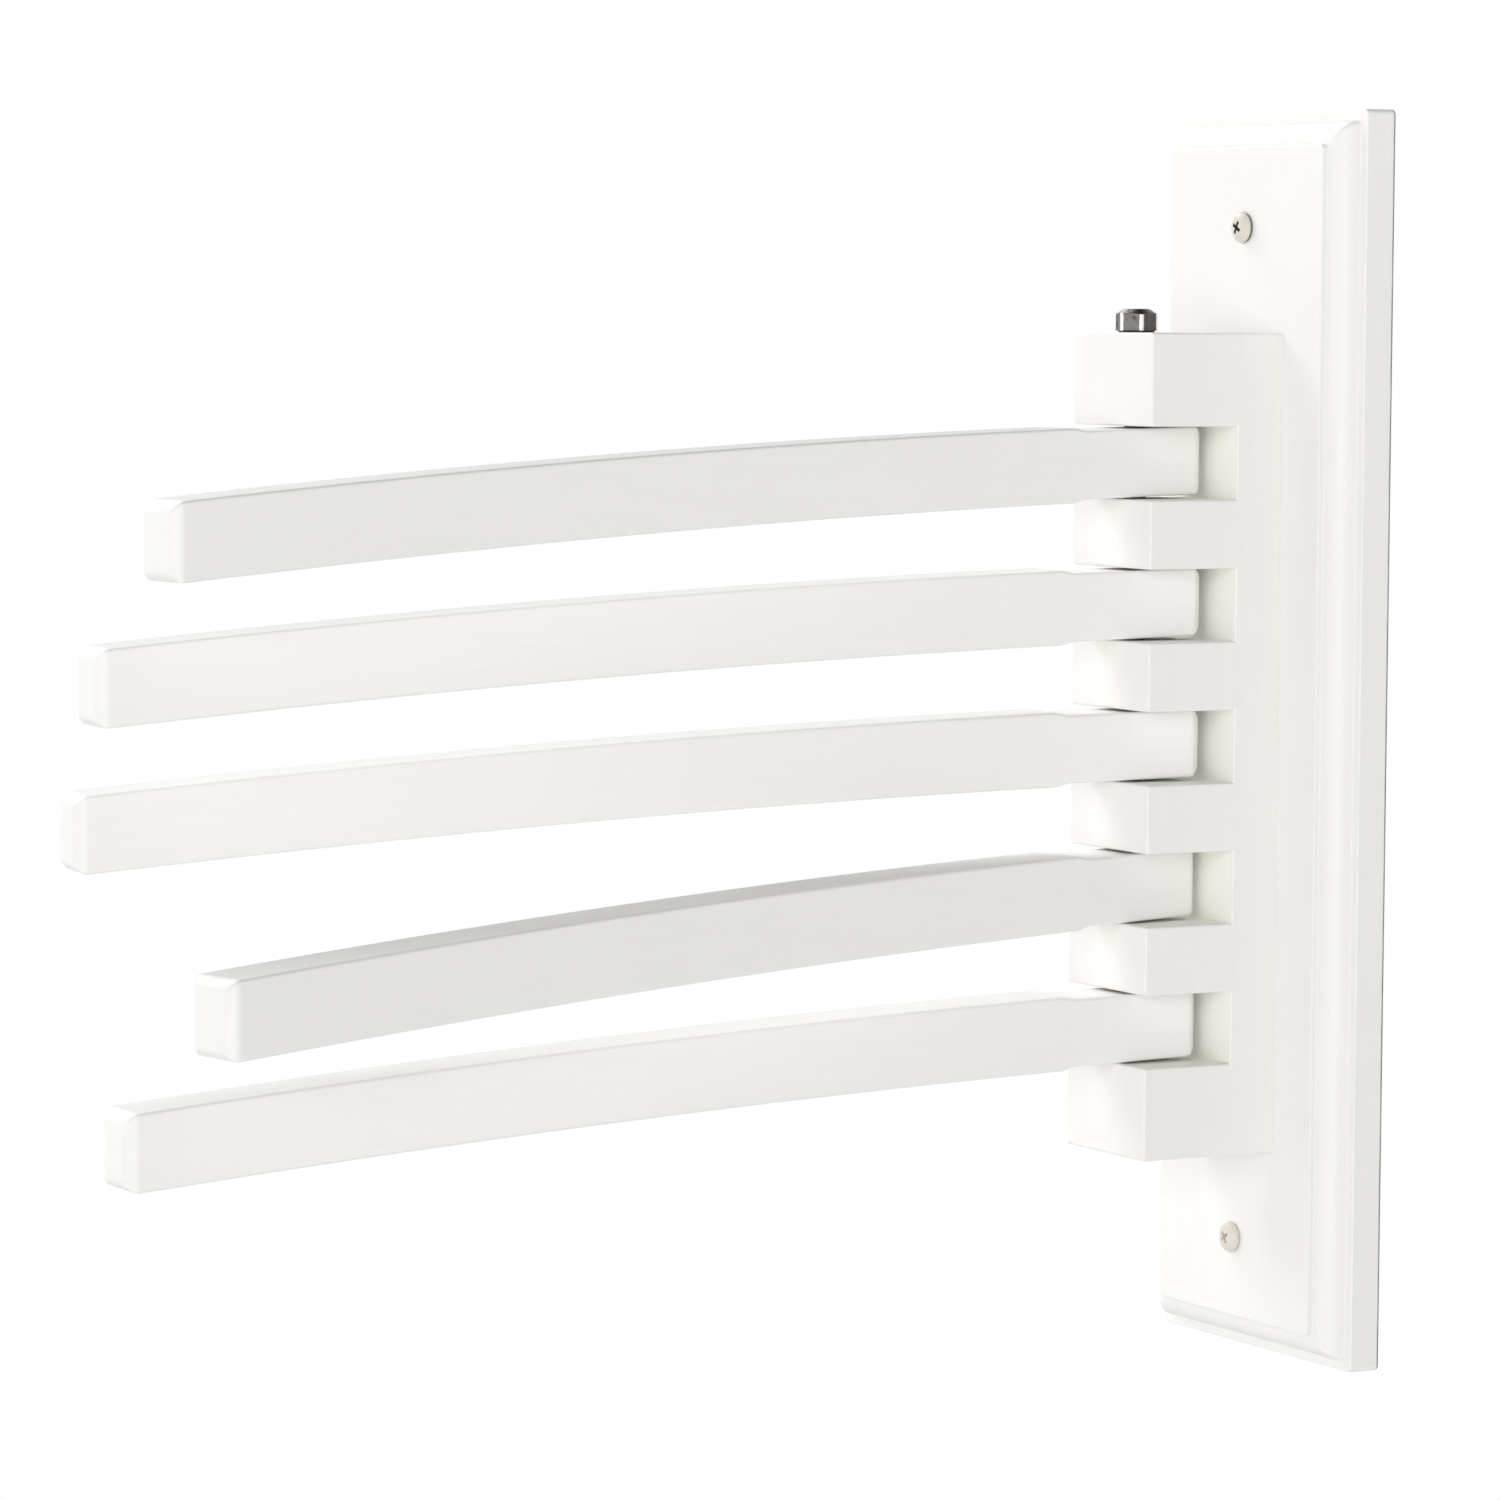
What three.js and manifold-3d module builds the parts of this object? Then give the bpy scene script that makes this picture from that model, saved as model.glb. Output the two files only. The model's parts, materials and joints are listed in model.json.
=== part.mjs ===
// Wall-mounted swing-arm drying rack.
//
// A back plate with a routed edge is screwed to the wall. A slotted pivot block, like a comb with six
// fingers, is screwed to the plate from behind. Five square arms sit in the five slots and swing from
// side to side on one long bolt, which runs down through every finger and arm and is screwed into a
// threaded insert in the lowest finger.
//
// Frame: millimetres, +Z up. The wall is the plane y = 0 and the rack stands out from it towards -Y,
// so +X is to the right for a person who faces the wall. The origin is the middle of the plate's back.

import * as THREE from "three";
import { mergeVertices } from "three/addons/utils/BufferGeometryUtils.js";
import Module from "manifold-3d";

const wasm = await Module();
wasm.setup();

// ---------------------------------------------------------------- driving dimensions

// Back plate
const PLATE_WIDTH = 94;
const PLATE_MARGIN = 58.1; // plate left showing past each end of the block, on average
const PLATE_THICKNESS = 17;
const EDGE_WIDTH = 9.2; // the routed edge, seen from the front
const EDGE_STEP = 1.7; // square step where the routed edge leaves the face
const EDGE_FILLET = 2.9; // flat land between the rounded part and the side
const SIDE_BAND = 9; // thickness of the plate that the router leaves square
const WALL_SCREW_INSET = 31; // from each end of the plate
const WALL_SCREW_TURNS = [20, -35]; // degrees that the upper and the lower cross stand turned

// Arms
const ARM_COUNT = 5;
const ARM_REACH = 295; // bolt axis to tip
const ARM_TAIL = 16.6; // bolt axis to inner end
const ARM_WIDTH = 18.5;
const ARM_HEIGHT = 20;
const TONGUE_HEIGHT = 18.3; // the thinned inner end that turns in the slot
const ARM_TILT = 0.0265; // slope at which an arm hangs in its slot
const ARM_BOW = 1.12e-4; // sag of an arm, per mm of length squared
const ARM_CHAMFER = 2.4; // chamfer round the end faces
const ARM_EDGE = 0.8; // eased long edges
const SHOULDER_LENGTH = 4; // slope from the tongue up to the arm's full height
const REST_TURNS = [4.9, -3.9, -7.3, 9.9, 0]; // degrees from straight out, top arm first, + to the right

// Pivot block
const BLOCK_WIDTH = 40;
const SPINE_DEPTH = 14.2; // wood left behind the slots
const END_FINGER = 25; // height of the top and bottom fingers
const FINGER_HEIGHT = 18.5; // height of the fingers between the slots
const BLOCK_DROP = 1.4; // the block's middle lies this far under the plate's middle
const BLOCK_EDGE = 0.8; // eased upright edges

// Pivot bolt and its insert
const BOLT_DIAMETER = 6;
const BOLT_SETBACK = 7.2; // bolt axis behind the block's front face
const HEAD_ACROSS_FLATS = 10.3;
const HEAD_HEIGHT = 6.3;
const HEAD_CHAMFER = 1.6; // how far the head's corners are turned down
const HEAD_TOP_INSET = 1.8; // the round flat top ends this far inside the six flats
const HEAD_TURN = 13; // degrees
const INSERT_WALL = 1.5;
const INSERT_RINGS = 5; // outside thread, one ring for each turn
const INSERT_LENGTH = 15;
const INSERT_INSET = 1; // the insert's mouth lies this far inside the block's underside
const THREAD_CREST = 0.4; // how far an outside thread stands proud of its core

// Wall screws (pan head) and block screws (countersunk, from behind)
const PAN_HEAD_DIAMETER = 8.2;
const PAN_HEAD_HEIGHT = 2.8;
const SCREW_DIAMETER = 4.2;
const PAN_HEAD_DOME = [
  [1, 0.45],
  [0.93, 0.72],
  [0.74, 0.92],
  [0.4, 1],
]; // shares of the head's radius and height
const CROSS_LENGTH = 4.8;
const CROSS_WIDTH = 1.1;
const CROSS_DEPTH = 1.5;
const FLAT_HEAD_DIAMETER = 7.6;
const FLAT_HEAD_HEIGHT = 2.6;
const FLAT_HEAD_RIM = 0.3;
const BLOCK_SCREW_LENGTH = 36;
const SCREW_THREAD_DEPTH = 0.46;
const SCREW_POINT = 3;

// Clearances
const GAP = 0.3; // between pieces that touch
const HOLE_CLEARANCE = 0.35; // bolt or screw to its hole, on the radius
const SLOT_RUNNING_GAP = 0.1; // least height between a tongue and a finger
const SWING_CLEARANCE = 0.9; // an arm's inner corner to the slot's back wall
const SHOULDER_CLEARANCE = 1; // an arm's thick part to the corner of a finger
const CUT_OVER = 1; // how far a cutting tool reaches past the surface that it cuts

// Fineness
const BOW_STEPS = 10; // straight stretches that make up an arm's bow
const BOLT_SIDES = 32;
const SCREW_SIDES = 16;
const HEAD_SIDES = 24;
const OVOLO_STEPS = 7;
const THREAD_PITCH = 3; // coarse, one ring for each turn

// ---------------------------------------------------------------- worked out from the above

const FACE_Y = -PLATE_THICKNESS;
const tailSweep = Math.hypot(ARM_TAIL, ARM_WIDTH / 2);
const SLOT_DEPTH = BOLT_SETBACK + tailSweep + SWING_CLEARANCE;
const BLOCK_DEPTH = SPINE_DEPTH + SLOT_DEPTH;
const BLOCK_FRONT_Y = FACE_Y - BLOCK_DEPTH;
const BOLT_Y = BLOCK_FRONT_Y + BOLT_SETBACK;

const fingerCorner = Math.hypot(BLOCK_WIDTH / 2, BOLT_SETBACK);
const SHOULDER_START = fingerCorner + SHOULDER_CLEARANCE;
const tongueRise = ARM_TILT * ARM_TAIL;
const tongueDrop = ARM_TILT * fingerCorner + ARM_BOW * fingerCorner ** 2;
const SLOT_HEIGHT = TONGUE_HEIGHT + tongueRise + tongueDrop + 2 * SLOT_RUNNING_GAP;
const ARM_LIFT = (tongueDrop - tongueRise) / 2; // centres the tilted tongue in its slot
const PITCH = SLOT_HEIGHT + FINGER_HEIGHT;
const BLOCK_HEIGHT = 2 * END_FINGER + (ARM_COUNT - 1) * PITCH + SLOT_HEIGHT;
const BLOCK_TOP = BLOCK_HEIGHT / 2 - BLOCK_DROP;
const BLOCK_BOTTOM = BLOCK_TOP - BLOCK_HEIGHT;
const PLATE_HEIGHT = BLOCK_HEIGHT + 2 * PLATE_MARGIN;
const WALL_SCREW_Z = PLATE_HEIGHT / 2 - WALL_SCREW_INSET;

const boltRadius = BOLT_DIAMETER / 2;
const boltHoleRadius = boltRadius + HOLE_CLEARANCE;
const screwRadius = SCREW_DIAMETER / 2;
const screwHoleRadius = screwRadius + HOLE_CLEARANCE;
const insertRadius = boltRadius + INSERT_WALL;

/** Height of the middle of slot i, counted from the top. */
const slotZ = (i) => BLOCK_TOP - END_FINGER - SLOT_HEIGHT / 2 - i * PITCH;

/** Height of the middle of the finger under slot i. */
const fingerZ = (i) => slotZ(i) - PITCH / 2;

// ---------------------------------------------------------------- materials

const paint = { color: 0xf1efe9, roughness: 0.45, metalness: 0 };
const zinc = { color: 0x8d8b86, roughness: 0.38, metalness: 1 };
const brass = { color: 0xb59a5b, roughness: 0.35, metalness: 1 };
const whiteScrew = { color: 0xe9e7e0, roughness: 0.35, metalness: 0 };
const yellowZinc = { color: 0xa8935c, roughness: 0.4, metalness: 1 };

// ---------------------------------------------------------------- helpers

/** A closed geometry as a solid, with its shared corners merged. */
function solid(geometry) {
  const bare = geometry.clone();
  bare.deleteAttribute("normal");
  bare.deleteAttribute("uv");
  const merged = mergeVertices(bare, 1e-4);
  return new wasm.Manifold(
    new wasm.Mesh({
      numProp: 3,
      vertProperties: new Float32Array(merged.attributes.position.array),
      triVerts: new Uint32Array(merged.index.array),
    }),
  );
}

/** A solid as a flat-shaded geometry. */
function geometryOf(body) {
  const mesh = body.getMesh();
  const indexed = new THREE.BufferGeometry();
  indexed.setAttribute("position", new THREE.BufferAttribute(mesh.vertProperties, 3));
  indexed.setIndex(new THREE.BufferAttribute(mesh.triVerts, 1));
  const flat = indexed.toNonIndexed();
  flat.computeVertexNormals();
  return flat;
}

/** Cuts the tools out of a geometry. */
function cut(geometry, tools) {
  const left = tools.reduce((body, tool) => body.subtract(solid(tool)), solid(geometry));
  return geometryOf(left);
}

/** A named mesh with a material of its own. */
function piece(name, geometry, look) {
  const mesh = new THREE.Mesh(geometry, new THREE.MeshStandardMaterial(look));
  mesh.name = name;
  return mesh;
}

/** A round rod along Z, from z = low to z = high. */
function uprightRod(radius, low, high, sides = BOLT_SIDES) {
  return new THREE.CylinderGeometry(radius, radius, high - low, sides)
    .rotateX(Math.PI / 2)
    .translate(0, 0, (low + high) / 2);
}

/** A turned piece about the Y axis: its profile is a list of [radius, y] from the rear end forwards. */
function turnedAlongY(profile, sides = SCREW_SIDES) {
  const points = profile.map(([radius, y]) => new THREE.Vector2(radius, -y));
  return new THREE.LatheGeometry(points, sides).rotateX(Math.PI);
}

/** An outline in the Y-Z plane, carried along X and centred on x = 0. Its points are [y, z]. */
function acrossX(outline, width) {
  const shape = new THREE.Shape(outline.map(([y, z]) => new THREE.Vector2(y, z)));
  return new THREE.ExtrudeGeometry(shape, { depth: width, bevelEnabled: false })
    .rotateX(Math.PI / 2)
    .rotateZ(Math.PI / 2)
    .translate(-width / 2, 0, 0);
}

// ---------------------------------------------------------------- back plate

/** What the router takes off one side of the plate: u runs in from the side, v back from the face. */
function routerWaste(length) {
  const over = CUT_OVER;
  const edgeDepth = PLATE_THICKNESS - SIDE_BAND;
  const ovolo = new THREE.Shape();
  ovolo.moveTo(-over, -over);
  ovolo.lineTo(EDGE_WIDTH, -over);
  ovolo.lineTo(EDGE_WIDTH, EDGE_STEP);
  ovolo.absellipse(
    EDGE_WIDTH,
    edgeDepth,
    EDGE_WIDTH - EDGE_FILLET,
    edgeDepth - EDGE_STEP,
    -Math.PI / 2,
    -Math.PI,
    true,
  );
  ovolo.lineTo(-over, edgeDepth);
  const settings = { depth: length, bevelEnabled: false, curveSegments: OVOLO_STEPS };
  return new THREE.ExtrudeGeometry(ovolo, settings);
}

/** A mirror image, with its triangles turned round so that they still face outwards. */
function mirrorImage(geometry, [x, y, z]) {
  const image = geometry.clone().scale(x, y, z);
  const xyz = image.attributes.position;
  const [second, third] = [new THREE.Vector3(), new THREE.Vector3()];
  for (let i = 0; i < xyz.count; i += 3) {
    second.fromBufferAttribute(xyz, i + 1);
    third.fromBufferAttribute(xyz, i + 2);
    xyz.setXYZ(i + 1, third.x, third.y, third.z);
    xyz.setXYZ(i + 2, second.x, second.y, second.z);
  }
  return image;
}

/** The four router passes, set along the plate's sides. */
function routerPasses() {
  const over = 2 * CUT_OVER;
  const upright = routerWaste(PLATE_HEIGHT + 2 * over).translate(0, 0, -PLATE_HEIGHT / 2 - over);
  const level = routerWaste(PLATE_WIDTH + 2 * over).translate(0, 0, -PLATE_WIDTH / 2 - over);
  const left = upright.translate(-PLATE_WIDTH / 2, FACE_Y, 0);
  const lower = level.rotateY(-Math.PI / 2).translate(0, FACE_Y, -PLATE_HEIGHT / 2);
  return [left, mirrorImage(left, [-1, 1, 1]), lower, mirrorImage(lower, [1, 1, -1])];
}

/** Heights of the screws that hold the block: the end fingers and the two next to the middle slot. */
const blockScrewHeights = [
  BLOCK_TOP - END_FINGER / 2,
  fingerZ(1),
  fingerZ(2),
  BLOCK_BOTTOM + END_FINGER / 2,
];

function backPlate() {
  const board = new THREE.BoxGeometry(PLATE_WIDTH, PLATE_THICKNESS, PLATE_HEIGHT);
  board.translate(0, -PLATE_THICKNESS / 2, 0);
  const through = PLATE_THICKNESS + 2 * CUT_OVER;
  const holes = [1, -1].map((side) =>
    new THREE.CylinderGeometry(screwHoleRadius, screwHoleRadius, through, SCREW_SIDES).translate(
      0,
      -PLATE_THICKNESS / 2,
      side * WALL_SCREW_Z,
    ),
  );
  const sinks = blockScrewHeights.map((z) => countersink(through).translate(0, 0, z));
  return piece("back_plate", cut(board, [...routerPasses(), ...holes, ...sinks]), paint);
}

/** A countersunk hole that opens at the plate's back. */
function countersink(length) {
  const mouth = FLAT_HEAD_DIAMETER / 2 + HOLE_CLEARANCE;
  return turnedAlongY([
    [0, CUT_OVER],
    [mouth, CUT_OVER],
    [mouth, -GAP - FLAT_HEAD_RIM],
    [screwHoleRadius, -GAP - FLAT_HEAD_HEIGHT],
    [screwHoleRadius, -length],
    [0, -length],
  ]);
}

// ---------------------------------------------------------------- pivot block

/** The comb seen from the side, as [y, z] points. The slots open to the front. */
function combOutline() {
  const back = FACE_Y - GAP;
  const slotBack = BLOCK_FRONT_Y + SLOT_DEPTH;
  const outline = [
    [back, BLOCK_BOTTOM],
    [back, BLOCK_TOP],
    [BLOCK_FRONT_Y, BLOCK_TOP],
  ];
  for (let i = 0; i < ARM_COUNT; i++) {
    const top = slotZ(i) + SLOT_HEIGHT / 2;
    const bottom = slotZ(i) - SLOT_HEIGHT / 2;
    outline.push([BLOCK_FRONT_Y, top], [slotBack, top], [slotBack, bottom], [BLOCK_FRONT_Y, bottom]);
  }
  outline.push([BLOCK_FRONT_Y, BLOCK_BOTTOM]);
  return outline;
}

/** Takes a small flat off one of the block's upright front edges. */
function edgeEaser(side) {
  const width = BLOCK_EDGE * Math.SQRT2;
  return new THREE.BoxGeometry(width, width, BLOCK_HEIGHT + 2 * CUT_OVER)
    .rotateZ(Math.PI / 4)
    .translate((side * BLOCK_WIDTH) / 2, BLOCK_FRONT_Y, -BLOCK_DROP);
}

function pivotBlock() {
  const bolt = uprightRod(boltHoleRadius, BLOCK_BOTTOM + INSERT_LENGTH, BLOCK_TOP + CUT_OVER);
  const insert = uprightRod(
    insertRadius + THREAD_CREST + GAP,
    BLOCK_BOTTOM - CUT_OVER,
    BLOCK_BOTTOM + INSERT_INSET + INSERT_LENGTH + GAP,
  );
  const pilotEnd = -BLOCK_SCREW_LENGTH - GAP;
  const pilots = blockScrewHeights.map((z) =>
    turnedAlongY([
      [0, FACE_Y + CUT_OVER],
      [screwHoleRadius, FACE_Y + CUT_OVER],
      [screwHoleRadius, pilotEnd],
      [0, pilotEnd],
    ]).translate(0, 0, z),
  );
  const tools = [
    bolt.translate(0, BOLT_Y, 0),
    insert.translate(0, BOLT_Y, 0),
    edgeEaser(1),
    edgeEaser(-1),
    ...pilots,
  ];
  return piece("pivot_block", cut(acrossX(combOutline(), BLOCK_WIDTH), tools), paint);
}

// ---------------------------------------------------------------- arms

/** A rectangle with small flats on its corners. */
function easedSection(width, height) {
  const [w, h, e] = [width / 2, height / 2, ARM_EDGE];
  const corners = [
    [w - e, -h],
    [w, e - h],
    [w, h - e],
    [w - e, h],
    [e - w, h],
    [-w, h - e],
    [-w, e - h],
    [e - w, -h],
  ];
  return new THREE.Shape(corners.map(([x, y]) => new THREE.Vector2(x, y)));
}

/** Share of the arm's full height that is left at a distance s from the bolt. */
function heightShare(s) {
  const thick = THREE.MathUtils.clamp((s - SHOULDER_START) / SHOULDER_LENGTH, 0, 1);
  return THREE.MathUtils.lerp(TONGUE_HEIGHT / ARM_HEIGHT, 1, thick);
}

/** How far the arm's middle hangs under its height at the bolt. */
const sag = (s) => ARM_TILT * s + ARM_BOW * Math.max(s, 0) ** 2;

/** Distances from the bolt at which an arm's section is set, from its inner end to its tip. */
function armStations() {
  const bowStart = SHOULDER_START + SHOULDER_LENGTH;
  const bowEnd = ARM_REACH - ARM_CHAMFER;
  const stations = [-ARM_TAIL, ARM_CHAMFER - ARM_TAIL, SHOULDER_START];
  for (let i = 0; i <= BOW_STEPS; i++) {
    stations.push(THREE.MathUtils.lerp(bowStart, bowEnd, i / BOW_STEPS));
  }
  return [...stations, ARM_REACH];
}

/** An arm that points towards -Y, with the bolt axis at x = y = 0 and its slot's middle at z = 0. */
function armGeometry() {
  const stations = armStations();
  const last = stations.length - 1;
  const bar = new THREE.ExtrudeGeometry(easedSection(ARM_WIDTH, ARM_HEIGHT), {
    depth: last,
    steps: last,
    bevelEnabled: false,
  });
  const xyz = bar.attributes.position;
  for (let i = 0; i < xyz.count; i++) {
    const station = Math.round(xyz.getZ(i));
    const s = stations[station];
    const inset = station === 0 || station === last ? ARM_CHAMFER : 0;
    const across = xyz.getX(i) - Math.sign(xyz.getX(i)) * inset;
    const up = xyz.getY(i) - Math.sign(xyz.getY(i)) * inset;
    xyz.setXYZ(i, across, -s, up * heightShare(s) - sag(s) + ARM_LIFT);
  }
  return cut(bar, [uprightRod(boltHoleRadius, -ARM_HEIGHT, ARM_HEIGHT)]);
}

function arms() {
  const group = new THREE.Group();
  group.position.y = BOLT_Y;
  REST_TURNS.slice(0, ARM_COUNT).forEach((turn, i) => {
    const arm = piece(`arm_${i + 1}`, armGeometry(), paint);
    arm.position.z = slotZ(i);
    arm.rotation.z = THREE.MathUtils.degToRad(turn);
    group.add(arm);
  });
  return group;
}

// ---------------------------------------------------------------- bolt and insert

/** A closed profile of [radius, z] points, turned about the Z axis. */
function turnedAlongZ(profile, sides) {
  const points = profile.map(([radius, z]) => new THREE.Vector2(radius, z));
  return new THREE.LatheGeometry(points, sides).rotateX(Math.PI / 2);
}

/** A hexagonal head with its top corners turned off, standing on z = seat. */
function hexHead(seat) {
  const corner = HEAD_ACROSS_FLATS / Math.sqrt(3);
  const hexagon = new THREE.CylinderGeometry(corner, corner, HEAD_HEIGHT, 6)
    .rotateX(Math.PI / 2)
    .translate(0, 0, HEAD_HEIGHT / 2);
  const topRadius = HEAD_ACROSS_FLATS / 2 - HEAD_TOP_INSET;
  const profile = [
    [0, 0],
    [corner + CUT_OVER, 0],
    [corner + CUT_OVER, HEAD_HEIGHT - HEAD_CHAMFER],
    [corner, HEAD_HEIGHT - HEAD_CHAMFER],
    [topRadius, HEAD_HEIGHT],
    [0, HEAD_HEIGHT],
  ];
  const [block, turning] = [hexagon, turnedAlongZ(profile, BOLT_SIDES)].map((geometry) =>
    solid(geometry.rotateZ(THREE.MathUtils.degToRad(HEAD_TURN)).translate(0, 0, seat)),
  );
  return block.intersect(turning);
}

function pivotBolt() {
  const seat = BLOCK_TOP + GAP;
  const end = BLOCK_BOTTOM + INSERT_INSET + GAP;
  const shank = solid(uprightRod(boltRadius, end, seat + HEAD_HEIGHT / 2));
  const bolt = piece("pivot_bolt", geometryOf(shank.add(hexHead(seat))), zinc);
  bolt.position.y = BOLT_Y;
  return bolt;
}

/** A threaded bush, open at both ends, that takes the bolt's thread. */
function threadedInsert() {
  const bottom = BLOCK_BOTTOM + INSERT_INSET;
  const top = bottom + INSERT_LENGTH;
  const step = INSERT_LENGTH / INSERT_RINGS;
  const outside = [];
  for (let i = 0; i < INSERT_RINGS; i++) {
    const z = bottom + i * step;
    outside.push([insertRadius, z], [insertRadius + THREAD_CREST, z + step / 2]);
  }
  const bore = boltRadius + GAP;
  const profile = [[bore, bottom], ...outside, [insertRadius, top], [bore, top], [bore, bottom]];
  const insert = piece("threaded_insert", turnedAlongZ(profile, HEAD_SIDES), brass);
  insert.position.y = BOLT_Y;
  return insert;
}

// ---------------------------------------------------------------- screws

/** A screw's shank with coarse thread rings, pointed at the -Y end when pointed is true. */
function threadedShank(from, to, pointed) {
  const core = screwRadius - SCREW_THREAD_DEPTH;
  const turns = Math.round(Math.abs(to - from) / THREAD_PITCH);
  const step = (to - from) / turns;
  const profile = [[core, from]];
  for (let i = 0; i < turns; i++) {
    profile.push([screwRadius, from + (i + 0.5) * step], [core, from + (i + 1) * step]);
  }
  return [...profile, [0, pointed ? to + Math.sign(step) * SCREW_POINT : to]];
}

/** The two bars of a cross recess, sunk into a head whose flat end lies at y = front. */
function crossRecess(front) {
  return [0, Math.PI / 2].map((turn) =>
    new THREE.BoxGeometry(CROSS_LENGTH, 2 * CROSS_DEPTH, CROSS_WIDTH)
      .rotateY(turn)
      .translate(0, front, 0),
  );
}

/** A pan-head wall screw, at z = 0. Its shank is shown as far as the wall plane. */
function panHeadScrew() {
  const seat = FACE_Y - GAP;
  const radius = PAN_HEAD_DIAMETER / 2;
  const front = seat - PAN_HEAD_HEIGHT;
  const shank = threadedShank(seat, -GAP, false).reverse();
  const dome = PAN_HEAD_DOME.map(([across, up]) => [radius * across, seat - PAN_HEAD_HEIGHT * up]);
  const profile = [...shank, [radius, seat], ...dome, [0, front]];
  return cut(turnedAlongY(profile, HEAD_SIDES), crossRecess(front));
}

/** A countersunk screw that enters from behind, at z = 0, pointing to the front. */
function countersunkScrew() {
  const radius = FLAT_HEAD_DIAMETER / 2;
  const shank = threadedShank(-GAP - FLAT_HEAD_HEIGHT, SCREW_POINT - BLOCK_SCREW_LENGTH, true);
  const profile = [
    [0, -GAP],
    [radius, -GAP],
    [radius, -GAP - FLAT_HEAD_RIM],
    ...shank,
  ];
  return cut(turnedAlongY(profile), crossRecess(-GAP));
}

function screws() {
  const group = new THREE.Group();
  ["upper", "lower"].forEach((place, i) => {
    const screw = piece(`wall_screw_${place}`, panHeadScrew(), whiteScrew);
    screw.position.z = i === 0 ? WALL_SCREW_Z : -WALL_SCREW_Z;
    screw.rotation.y = THREE.MathUtils.degToRad(WALL_SCREW_TURNS[i]);
    group.add(screw);
  });
  blockScrewHeights.forEach((z, i) => {
    const screw = piece(`block_screw_${i + 1}`, countersunkScrew(), yellowZinc);
    screw.position.z = z;
    group.add(screw);
  });
  return group;
}

// ---------------------------------------------------------------- the rack

const rack = new THREE.Group();
rack.name = "swing_arm_rack";
rack.add(backPlate(), pivotBlock(), arms(), pivotBolt(), threadedInsert(), screws());

export default rack;
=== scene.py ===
import json
import math

import bmesh
import bpy
from bpy.props import FloatProperty, FloatVectorProperty, IntProperty, PointerProperty
from mathutils import Matrix, Vector

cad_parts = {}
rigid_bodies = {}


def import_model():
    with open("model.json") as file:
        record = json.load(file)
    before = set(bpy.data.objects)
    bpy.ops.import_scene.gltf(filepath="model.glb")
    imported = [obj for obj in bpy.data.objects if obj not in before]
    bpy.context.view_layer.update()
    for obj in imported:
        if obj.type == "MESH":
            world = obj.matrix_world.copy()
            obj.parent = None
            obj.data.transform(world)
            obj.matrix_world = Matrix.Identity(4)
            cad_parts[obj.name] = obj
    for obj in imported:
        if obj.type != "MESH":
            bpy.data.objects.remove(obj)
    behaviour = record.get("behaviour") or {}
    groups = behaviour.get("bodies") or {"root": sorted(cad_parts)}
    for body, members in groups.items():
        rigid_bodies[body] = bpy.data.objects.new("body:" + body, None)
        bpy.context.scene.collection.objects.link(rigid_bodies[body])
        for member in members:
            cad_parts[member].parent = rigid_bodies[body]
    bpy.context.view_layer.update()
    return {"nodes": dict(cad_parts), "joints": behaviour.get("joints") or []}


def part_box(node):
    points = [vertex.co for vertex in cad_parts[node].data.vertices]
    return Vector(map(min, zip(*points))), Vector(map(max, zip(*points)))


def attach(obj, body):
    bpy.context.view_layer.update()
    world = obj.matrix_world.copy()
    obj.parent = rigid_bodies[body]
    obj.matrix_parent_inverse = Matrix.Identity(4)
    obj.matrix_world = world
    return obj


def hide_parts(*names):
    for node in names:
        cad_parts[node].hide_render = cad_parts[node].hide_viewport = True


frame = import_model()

bl_info = {
    "name": "Swing Arm Rack",
    "version": (1, 0, 0),
    "blender": (4, 5, 0),
    "location": "3D View > Sidebar > Rack",
    "description": "Builds the pieces of a white wooden wall rack with five swinging arms",
    "category": "Object",
}

MM = 0.001
SEATING = 0.28 * MM  # the frame leaves a gap between pieces that touch; this closes it
GAP = 0.3 * MM  # between a hidden piece and its hole
SINK_CLEARANCE = 0.35 * MM  # round a countersunk head
CUT_OVER = MM  # how far a cutting tool stands out of what it cuts
BOLT_THREAD_DEPTH = 0.6 * MM
JOINTS = sorted(frame["joints"], key=lambda joint: joint["name"])
ARM_BODIES = [joint["child"] for joint in JOINTS]
WALL_BODY = JOINTS[0]["parent"]
SLOT_HEIGHTS = [joint["pos_m"][2] for joint in JOINTS]
BOLT_AXIS = Vector((JOINTS[0]["pos_m"][0], JOINTS[0]["pos_m"][1], 0))

SLOT_WEAR_AND_SHADE_RADIUS = 6 * MM  # round the bolt, where the arms rub the slots' paint thin, and where painted shade darkens the slots
SMOOTH_ANGLE = 28  # degrees; sharper edges stay sharp in the shading
SCREW_SMOOTH_ANGLE = 32
SENSOR_WIDTH = 36  # millimetres
SKY_FADE = (8, 55)  # degrees over the horizon where the sky starts and ends its fade
LAMPS = {"right": (45, 3), "left": (-50, 40), "high": (-88, 42)}  # degrees round to the right, and up


# ---------------------------------------------------------------- sizes and colours


def length(name, description, millimetres):
    """A size that the user can change, given in millimetres."""
    return FloatProperty(
        name=name, description=description, default=millimetres * MM, min=0, unit="LENGTH", precision=4
    )


def colour(name, description, *rgb):
    """A colour that the user can change."""
    return FloatVectorProperty(
        name=name, description=description, default=rgb, subtype="COLOR", min=0, max=1
    )


def share(name, description, default):
    """A number from 0 to 1 that the user can change."""
    return FloatProperty(
        name=name, description=description, default=default, min=0, max=1, subtype="FACTOR"
    )


def angle(name, description, degrees):
    """An angle that the user can change, given in degrees."""
    return FloatProperty(
        name=name, description=description, default=math.radians(degrees), subtype="ANGLE"
    )


def power(name, description, watts):
    """A lamp's power that the user can change."""
    return FloatProperty(name=name, description=description, default=watts, unit="POWER")


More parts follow.
